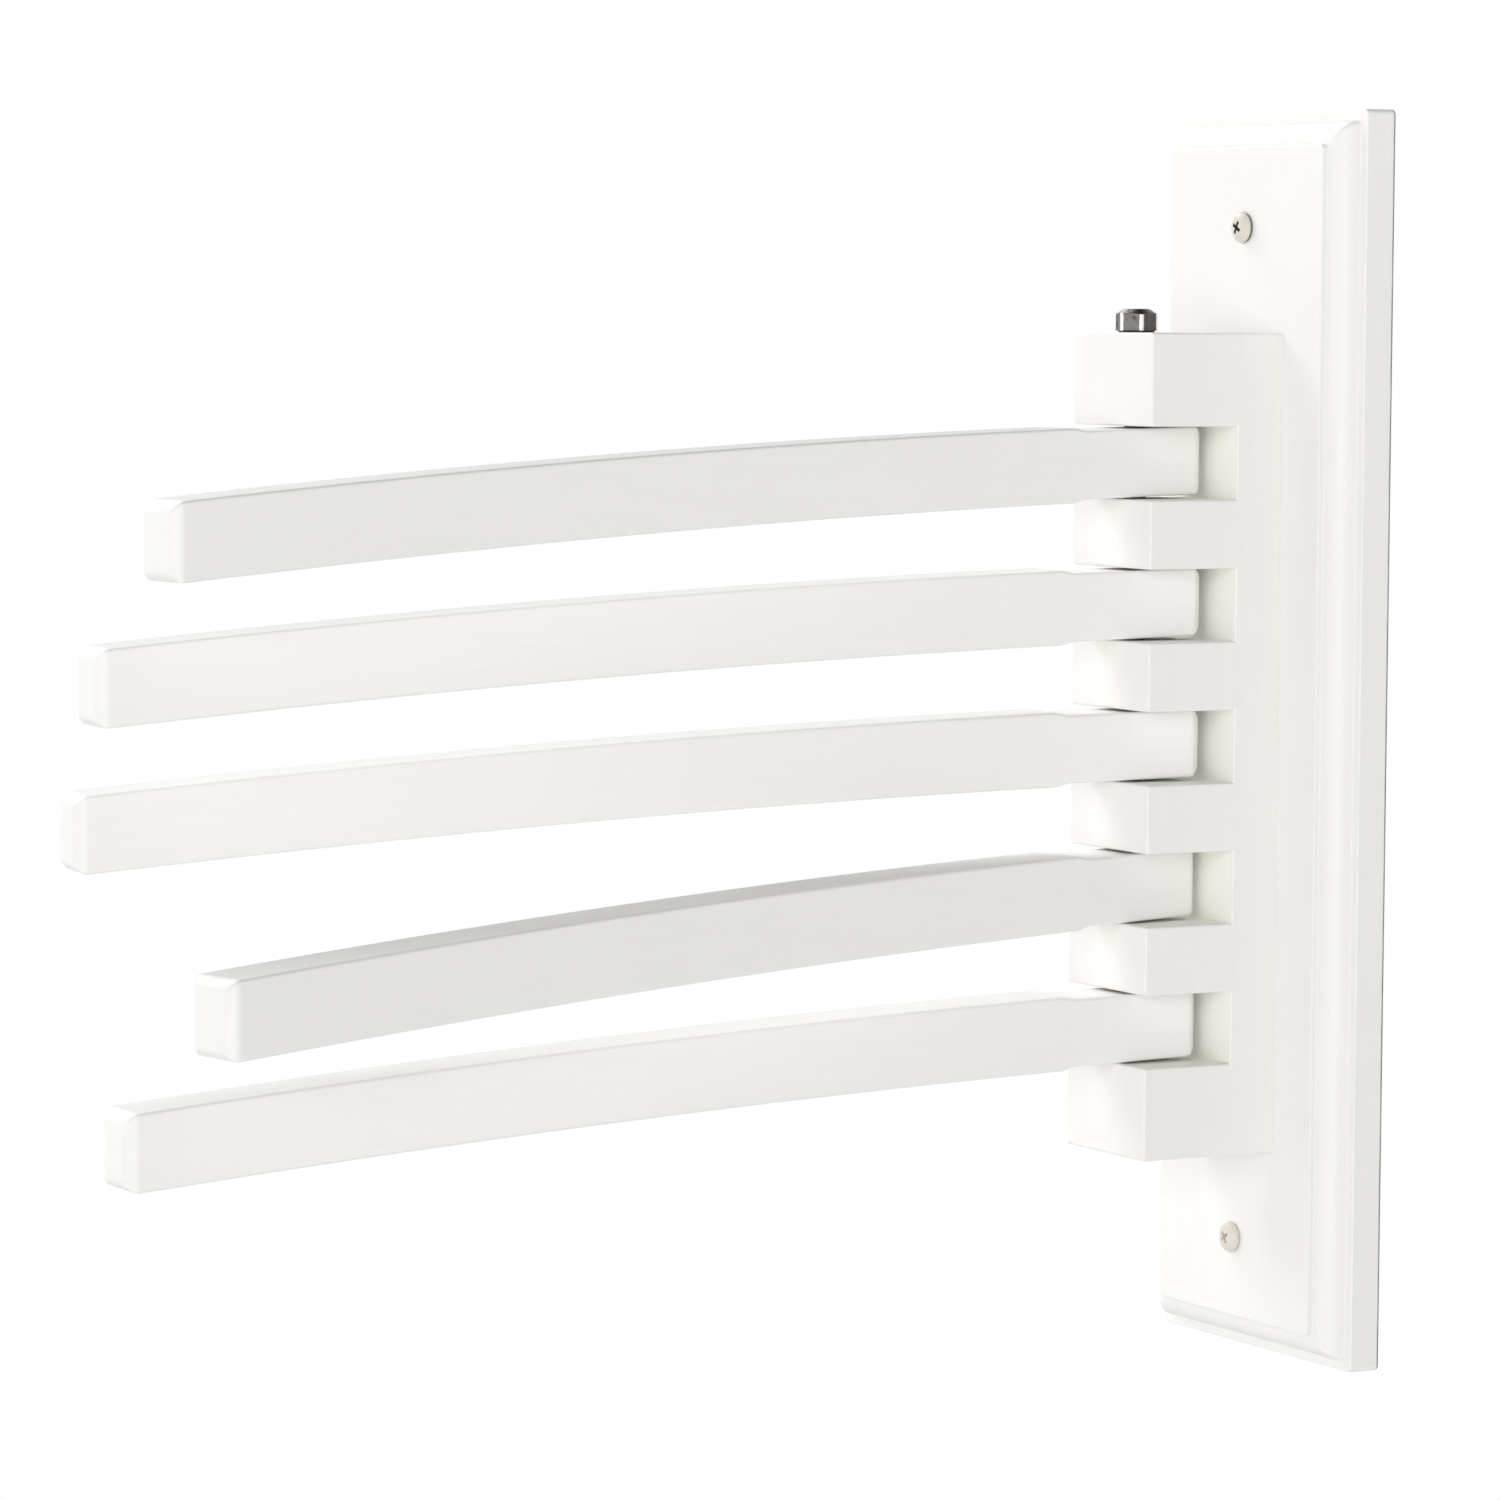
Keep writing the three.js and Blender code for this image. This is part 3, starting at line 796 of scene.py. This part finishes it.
class RACK_OT_pivot_block(bpy.types.Operator):
    """Make the slotted block that the arms turn in"""

    bl_idname = "rack.pivot_block"
    bl_label = "Pivot Block"

    def execute(self, context):
        rack = context.scene.rack
        low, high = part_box("pivot_block")
        slot_back = low.y + rack.block.slot_depth
        high.y += SEATING
        block = to_object("pivot_block_finished", self.comb(rack.block, low, high, slot_back))
        combine(block, self.drills(rack.hardware, low, high))
        materials = [
            painted_wood("block_paint", "Z", rack.colours, 0, (0.31, 0.12, 0), rack.colours.block_paint),
            thin_coat_and_shade("slot_thin_coat", rack.colours, SLOT_WEAR_AND_SHADE_RADIUS),
        ]
        finished(block, WALL_BODY, ["pivot_block"], materials)
        half_slot = rack.block.slot_height / 2
        for face in block.data.polygons:
            across, depth, height = face.center
            in_slot = any(abs(height - z) < half_slot + 0.05 * MM for z in SLOT_HEIGHTS)
            behind_front = low.y + rack.block.arris < depth < slot_back + 0.05 * MM
            face.material_index = int(in_slot and behind_front and abs(across) < high.x - rack.block.arris)
        return {"FINISHED"}

    @staticmethod
    def comb(block, low, high, slot_back):
        """The comb's outline, drawn on its left side, carried across and eased."""
        outline = [(high.y, low.z), (high.y, high.z), (low.y, high.z)]
        for middle in SLOT_HEIGHTS:
            top = middle + block.slot_height / 2
            bottom = middle - block.slot_height / 2
            outline += [(low.y, top), (slot_back, top), (slot_back, bottom), (low.y, bottom)]
        outline.append((low.y, low.z))
        bm = bmesh.new()
        side = bm.faces.new([bm.verts.new((low.x, y, z)) for y, z in outline])
        across = bmesh.ops.extrude_face_region(bm, geom=[side, *side.edges])["geom"]
        corners = [item for item in across if isinstance(item, bmesh.types.BMVert)]
        bmesh.ops.translate(bm, verts=corners, vec=(high.x - low.x, 0, 0))
        bmesh.ops.recalc_face_normals(bm, faces=bm.faces)
        bm.normal_update()
        convex = [edge for edge in bm.edges if edge.is_convex and min(v.co.y for v in edge.verts) < high.y]
        bmesh.ops.bevel(
            bm, geom=convex, affect="EDGES", offset=block.arris, segments=4, profile=0.5, material=-1
        )
        return bm

    @staticmethod
    def drills(hardware, low, high):
        """The bolt's and the insert's holes, and the pilot holes of the block screws."""
        insert_low, insert_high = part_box("threaded_insert")
        insert_radius = (insert_high.x - insert_low.x) / 2 + GAP
        bolt = rod(hardware.bolt_hole / 2, insert_high.z, high.z + CUT_OVER)
        insert = rod(insert_radius, low.z - CUT_OVER, insert_high.z + GAP)
        on_axis = Matrix.Translation(BOLT_AXIS)
        pilots = []
        for node in BLOCK_SCREWS:
            tip = -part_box(node)[0].y
            pilot = rod(hardware.screw_hole / 2, -high.y - CUT_OVER, tip + GAP)
            pilots.append(moved(pilot, to_wall(z=middle_of(node).z)))
        return [moved(bolt, on_axis), moved(insert, on_axis), *pilots]


# ---------------------------------------------------------------- arms


class RACK_OT_arms(bpy.types.Operator):
    """Make the five bowed arms, each on its own swinging body"""

    bl_idname = "rack.arms"
    bl_label = "Arms"

    def execute(self, context):
        rack = context.scene.rack
        for number, (body, height) in enumerate(zip(ARM_BODIES, SLOT_HEIGHTS), 1):
            node = f"arm_{number}"
            turn, tail, reach = self.lie(node)
            arm = to_object(f"{node}_finished", self.straight_arm(rack.arm, tail, reach))
            self.bow(arm, rack.arm)
            hole = rod(rack.hardware.bolt_hole / 2, -rack.arm.height, rack.arm.height)
            combine(arm, [hole])
            axis = Matrix.Translation((BOLT_AXIS.x, BOLT_AXIS.y, height))
            arm.data.transform(axis @ Matrix.Rotation(turn, 4, "Z"))
            paint = painted_wood(f"{node}_paint", "Y", rack.colours, -turn, (0.13 * number, 0.21 * number, 0))
            finished(arm, body, [node], [paint])
        return {"FINISHED"}

    @staticmethod
    def lie(node):
        """An arm's turn from straight out, and how far it reaches behind and in front of the bolt."""
        spots = [v.co - BOLT_AXIS for v in frame["nodes"][node].data.vertices]
        tip = max(spots, key=lambda spot: spot.xy.length)
        far = [spot for spot in spots if spot.xy.length > tip.xy.length - MM]
        middle = sum((spot.xy for spot in far), Vector((0, 0))) / len(far)
        turn = math.atan2(middle.x, -middle.y)
        out = Vector((math.sin(turn), -math.cos(turn)))
        along = [spot.xy.dot(out) for spot in spots]
        return turn, -min(along), max(along)

    @staticmethod
    def straight_arm(arm, tail, reach):
        """An arm before it is bowed, pointing towards -Y with the bolt's axis at the origin."""
        outline = [
            (-tail, 2.2 * arm.chamfer),
            (-tail, arm.chamfer),
            (arm.chamfer - tail, 0),
            (reach - arm.chamfer, 0),
            (reach, arm.chamfer),
            (reach, 2.2 * arm.chamfer),
        ]
        rings = softened(outline, arm.chamfer_softness)
        half = len(rings) // 2
        first = rings[half - 1].x
        last = rings[half].x
        between = [Vector((first + (last - first) * i / arm.rings, 0)) for i in range(1, arm.rings)]
        ramp = [arm.shoulder_start + arm.shoulder_length * i / 4 for i in range(5)]
        between = sorted(between + [Vector((s, 0)) for s in ramp], key=lambda ring: ring.x)
        return grown(arm.width, arm.height, arm.arris, rings[:half] + between + rings[half:])

    @staticmethod
    def bow(piece, arm):
        """Thins the tongue, and lets the arm hang and sag."""
        for vertex in piece.data.vertices:
            out = -vertex.co.y
            thick = min(max((out - arm.shoulder_start) / arm.shoulder_length, 0), 1)
            eased_thick = thick * thick * (3 - 2 * thick)
            thin = arm.tongue_height / arm.height
            sag = arm.tilt * out + arm.bow * max(out, 0) ** 2
            vertex.co.z = vertex.co.z * (thin + (1 - thin) * eased_thick) - sag + arm.lift


# ---------------------------------------------------------------- bolt and screws


def cross_recess(hardware, front):
    """A tapered cross that is sunk from z = front."""
    bars = []
    for turn in (0, math.radians(90)):
        bm = bmesh.new()
        size = Matrix.Diagonal((hardware.recess_length, hardware.recess_width, 2 * hardware.recess_depth, 1))
        bmesh.ops.create_cube(bm, size=1, matrix=Matrix.Translation((0, 0, front)) @ size)
        deep = [v for v in bm.verts if v.co.z < front]
        bmesh.ops.scale(bm, verts=deep, vec=(0.45, 0.75, 1))
        bars.append(moved(bm, Matrix.Rotation(turn, 4, "Z")))
    return bars


class RACK_OT_pivot_bolt(bpy.types.Operator):
    """Make the hexagon-headed bolt that the arms turn on"""

    bl_idname = "rack.pivot_bolt"
    bl_label = "Pivot Bolt"

    def execute(self, context):
        rack = context.scene.rack
        hardware = rack.hardware
        low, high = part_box("pivot_bolt")
        seat = high.z - hardware.head_height - SEATING
        bolt = self.head(hardware, seat, high.z - SEATING)
        eased(bolt, hardware.head_arris)
        radius = hardware.bolt / 2
        thread_top = low.z + hardware.bolt_thread
        shank = rod(radius, thread_top, seat + hardware.head_height / 2)
        thread = threaded(radius, BOLT_THREAD_DEPTH, hardware.bolt_pitch, low.z, thread_top + 0.2 * MM)
        combine(bolt, [shank, thread], "UNION")
        bolt.data.transform(Matrix.Translation(BOLT_AXIS))
        colours = rack.colours
        steel = plated_steel(
            "bolt_steel",
            colours.steel,
            colours.tarnish,
            colours.steel_roughness,
            # paints a highlight along the head's corners
            corner=hardware.head_flats / math.sqrt(3),
        )
        finished(bolt, WALL_BODY, ["pivot_bolt"], [steel])
        return {"FINISHED"}

    @staticmethod
    def head(hardware, seat, top):
        """A hexagon with its top corners turned off, over a round washer face."""
        corner = hardware.head_flats / math.sqrt(3)
        flat = hardware.head_flats / 2
        head = to_object("pivot_bolt_finished", rod(corner, seat, top, 6))
        head.data.transform(Matrix.Rotation(hardware.head_turn, 4, "Z"))
        face_top = seat + hardware.washer_face
        turning = [
            (0, seat),
            (flat - 0.25 * MM, seat),
            (flat - 0.25 * MM, face_top),
            (corner + MM, face_top),
            (corner + MM, top - hardware.head_chamfer - 0.6 * MM),
            (hardware.head_top / 2, top),
            (0, top),
        ]
        return combine(head, [turned(turning, 96)], "INTERSECT")


class RACK_OT_threaded_insert(bpy.types.Operator):
    """Make the brass insert that takes the bolt's thread"""

    bl_idname = "rack.threaded_insert"
    bl_label = "Threaded Insert"

    def execute(self, context):
        rack = context.scene.rack
        hardware = rack.hardware
        low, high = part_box("threaded_insert")
        radius = (high.x - low.x) / 2
        body = threaded(radius, hardware.insert_thread, hardware.insert_pitch, low.z, high.z, 36)
        insert = to_object("threaded_insert_finished", body)
        bore = rod(hardware.bolt / 2 + GAP, low.z - CUT_OVER, high.z + CUT_OVER)
        combine(insert, [bore])
        insert.data.transform(Matrix.Translation(BOLT_AXIS))
        brass = plated_steel(
            "insert_brass", rack.colours.brass, [v * 0.4 for v in rack.colours.brass], 0.3, (1, 1, 6)
        )
        finished(insert, WALL_BODY, ["threaded_insert"], [brass])
        return {"FINISHED"}


class RACK_OT_wall_screws(bpy.types.Operator):
    """Make the two pan-head screws that hold the plate to the wall"""

    bl_idname = "rack.wall_screws"
    bl_label = "Wall Screws"

    def execute(self, context):
        rack = context.scene.rack
        hardware = rack.hardware
        rim_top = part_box("back_plate")[0].y - hardware.pan_rim
        colours = rack.colours
        # upper screw: a chipped and shaded patch round the cross and strong painted shade along the rim;
        # lower screw: hardly any of either
        chipped_and_shaded = enamelled_screw(
            "worn_enamel", colours, middle_of(WALL_SCREWS[0]).z, rim_top, 0.6 * MM, 0.75
        )
        clean = enamelled_screw(
            "clean_enamel", colours, middle_of(WALL_SCREWS[1]).z, rim_top, 0.1 * MM, 0.15
        )
        # the upper screw's recess is dark: dirt on bare steel, and painted shade in the hollow
        dirt = recess_finish("recess_dirt", colours.tarnish, colours.steel)
        filled = recess_finish("recess_paint", [v * 0.9 for v in colours.enamel], colours.enamel)
        self.screw(hardware, WALL_SCREWS[0], math.radians(-28), chipped_and_shaded, dirt)
        self.screw(hardware, WALL_SCREWS[1], math.radians(35), clean, filled)
        return {"FINISHED"}

    @staticmethod
    def screw(hardware, node, turn, enamel, recess):
        """One screw, shown as far as the wall."""
        low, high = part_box(node)
        radius = (high.x - low.x) / 2
        seat = -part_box("back_plate")[0].y + 0.02 * MM
        top = -low.y - SEATING
        shoulder = seat + hardware.pan_rim
        dome = [
            (radius * math.cos(t) ** 0.62, shoulder + (top - shoulder) * math.sin(t))
            for t in (math.radians(90 * i / 12) for i in range(13))
        ]
        profile = [(0, seat), (radius - 0.25 * MM, seat), (radius, seat + 0.2 * MM), *dome[:-1], (0, top)]
        screw = to_object(f"{node}_finished", turned(profile))
        screw.data.materials.append(enamel)
        shank = threaded(
            hardware.screw / 2, hardware.screw_depth, hardware.screw_pitch, -high.y, seat + 0.3 * MM
        )
        combine(screw, [shank], "UNION")
        combine(screw, cross_recess(hardware, top), material=recess)
        screw.data.transform(to_wall(z=middle_of(node).z, turn=turn))
        finished(screw, WALL_BODY, [node], [enamel, recess], SCREW_SMOOTH_ANGLE)


class RACK_OT_block_screws(bpy.types.Operator):
    """Make the four countersunk screws that hold the block, from behind the plate"""

    bl_idname = "rack.block_screws"
    bl_label = "Block Screws"

    def execute(self, context):
        rack = context.scene.rack
        colours = rack.colours
        zinc = plated_steel(
            "screw_yellow_zinc", colours.yellow_zinc, [v * 0.45 for v in colours.yellow_zinc], 0.34
        )
        for number, node in enumerate(BLOCK_SCREWS):
            self.screw(rack.hardware, node, math.radians(25 + 37 * number), zinc)
        return {"FINISHED"}

    @staticmethod
    def screw(hardware, node, turn, zinc):
        """One screw, with its head at the plate's back."""
        low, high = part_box(node)
        back = -high.y
        tip = -low.y
        radius = hardware.flat_head / 2
        neck = hardware.screw / 2 - hardware.screw_depth
        head = [
            (0, back),
            (radius - 0.12 * MM, back),
            (radius, back + 0.12 * MM),
            (radius, back + hardware.flat_head_rim),
            (neck, back + hardware.flat_head_height),
            (0, back + hardware.flat_head_height),
        ]
        screw = to_object(f"{node}_finished", turned(head))
        shank = threaded(
            hardware.screw / 2, hardware.screw_depth, hardware.screw_pitch, back + MM, tip - 0.02 * MM
        )
        for vertex in shank.verts:
            left = (tip - vertex.co.z) / hardware.screw_point
            if left < 1:
                vertex.co.xy = vertex.co.xy * (0.04 + 0.96 * left)
        combine(screw, [shank], "UNION")
        recess = [moved(bm, Matrix.Scale(-1, 4, (0, 0, 1))) for bm in cross_recess(hardware, -back)]
        for bm in recess:
            bmesh.ops.reverse_faces(bm, faces=bm.faces)
        combine(screw, recess)
        screw.data.transform(to_wall(z=middle_of(node).z, turn=turn))
        finished(screw, WALL_BODY, [node], [zinc], SCREW_SMOOTH_ANGLE)


# ---------------------------------------------------------------- stage


class RACK_OT_stage(bpy.types.Operator):
    """Set up the camera, the soft studio light and the pale floor"""

    bl_idname = "rack.stage"
    bl_label = "Stage"

    def execute(self, context):
        stage = context.scene.rack.stage
        self.add_camera(context, stage)
        self.add_floor(context, stage)
        self.add_sky(context, stage)
        for side in LAMPS:
            self.add_lamp(context, stage, side)
        context.scene.view_settings.view_transform = "Standard"
        return {"FINISHED"}

    @staticmethod
    def add_camera(context, stage):
        data = bpy.data.cameras.new("camera")
        data.lens = stage.lens
        data.sensor_width = SENSOR_WIDTH
        data.clip_start = 0.01
        camera = bpy.data.objects.new("camera", data)
        context.scene.collection.objects.link(camera)
        down = math.radians(90) - stage.downward
        turn = Matrix.Rotation(stage.azimuth, 4, "Z") @ Matrix.Rotation(down, 4, "X")
        camera.matrix_world = Matrix.Translation(stage.camera) @ turn @ Matrix.Rotation(stage.roll, 4, "Z")
        context.scene.camera = camera

    @staticmethod
    def add_floor(context, stage):
        bm = bmesh.new()
        bmesh.ops.create_grid(bm, x_segments=4, y_segments=4, size=stage.floor_reach)
        floor = to_object("floor", moved(bm, Matrix.Translation((0, 0, stage.floor_height))))
        floor.data.materials.append(floor_finish("floor_pale"))

    @staticmethod
    def add_sky(context, stage):
        """White all round at eye level, and dimmer overhead."""
        world = bpy.data.worlds.new("studio")
        world.use_nodes = True
        nodes = world.node_tree.nodes
        links = world.node_tree.links
        direction = nodes.new("ShaderNodeTexCoord")
        split = nodes.new("ShaderNodeSeparateXYZ")
        fade = nodes.new("ShaderNodeMapRange")
        fade.interpolation_type = "SMOOTHSTEP"
        fade.inputs["From Min"].default_value = math.sin(math.radians(SKY_FADE[0]))
        fade.inputs["From Max"].default_value = math.sin(math.radians(SKY_FADE[1]))
        fade.inputs["To Min"].default_value = stage.sky
        fade.inputs["To Max"].default_value = stage.zenith
        links.new(direction.outputs["Generated"], split.inputs[0])
        links.new(split.outputs["Z"], fade.inputs["Value"])
        links.new(fade.outputs["Result"], nodes["Background"].inputs["Strength"])
        nodes["Background"].inputs["Color"].default_value = (1, 1, 1, 1)
        context.scene.world = world

    @staticmethod
    def add_lamp(context, stage, side):
        """A soft square lamp that shines at the rack."""
        around, up = LAMPS[side]
        name = f"{side}_light"
        data = bpy.data.lights.new(name, "AREA")
        data.size = stage.lamp_size
        data.energy = getattr(stage, side)
        lamp = bpy.data.objects.new(name, data)
        context.scene.collection.objects.link(lamp)
        sideways = Matrix.Rotation(math.radians(around), 4, "Z")
        upward = Matrix.Rotation(math.radians(90 - up), 4, "X")
        target = Matrix.Translation(middle_of("pivot_block"))
        back = Matrix.Translation((0, 0, stage.lamp_distance))
        lamp.matrix_world = target @ sideways @ upward @ back


# ---------------------------------------------------------------- panel and registration

STEPS = (
    RACK_OT_stage,
    RACK_OT_back_plate,
    RACK_OT_pivot_block,
    RACK_OT_arms,
    RACK_OT_pivot_bolt,
    RACK_OT_threaded_insert,
    RACK_OT_wall_screws,
    RACK_OT_block_screws,
)
GROUPS = (RackPlate, RackBlock, RackArm, RackHardware, RackColours, RackStage, RackSettings)


class RACK_PT_panel(bpy.types.Panel):
    """Lists the rack's pieces and sizes"""

    bl_idname = "RACK_PT_panel"
    bl_label = "Swing Arm Rack"
    bl_space_type = "VIEW_3D"
    bl_region_type = "UI"
    bl_category = "Rack"

    def draw(self, context):
        column = self.layout.column()
        for step in STEPS:
            column.operator(step.bl_idname)
        for name in RackSettings.__annotations__:
            group = getattr(context.scene.rack, name)
            box = self.layout.box()
            box.label(text=name.capitalize())
            for field in group.bl_rna.properties:
                if field.identifier not in {"rna_type", "name"}:
                    box.prop(group, field.identifier)


def register():
    for item in (*GROUPS, *STEPS, RACK_PT_panel):
        bpy.utils.register_class(item)
    bpy.types.Scene.rack = PointerProperty(type=RackSettings)


def unregister():
    del bpy.types.Scene.rack
    for item in reversed((*GROUPS, *STEPS, RACK_PT_panel)):
        bpy.utils.unregister_class(item)


def main():
    register()
    for step in STEPS:
        family, name = step.bl_idname.split(".")
        getattr(getattr(bpy.ops, family), name)()


if __name__ == "__main__":
    main()
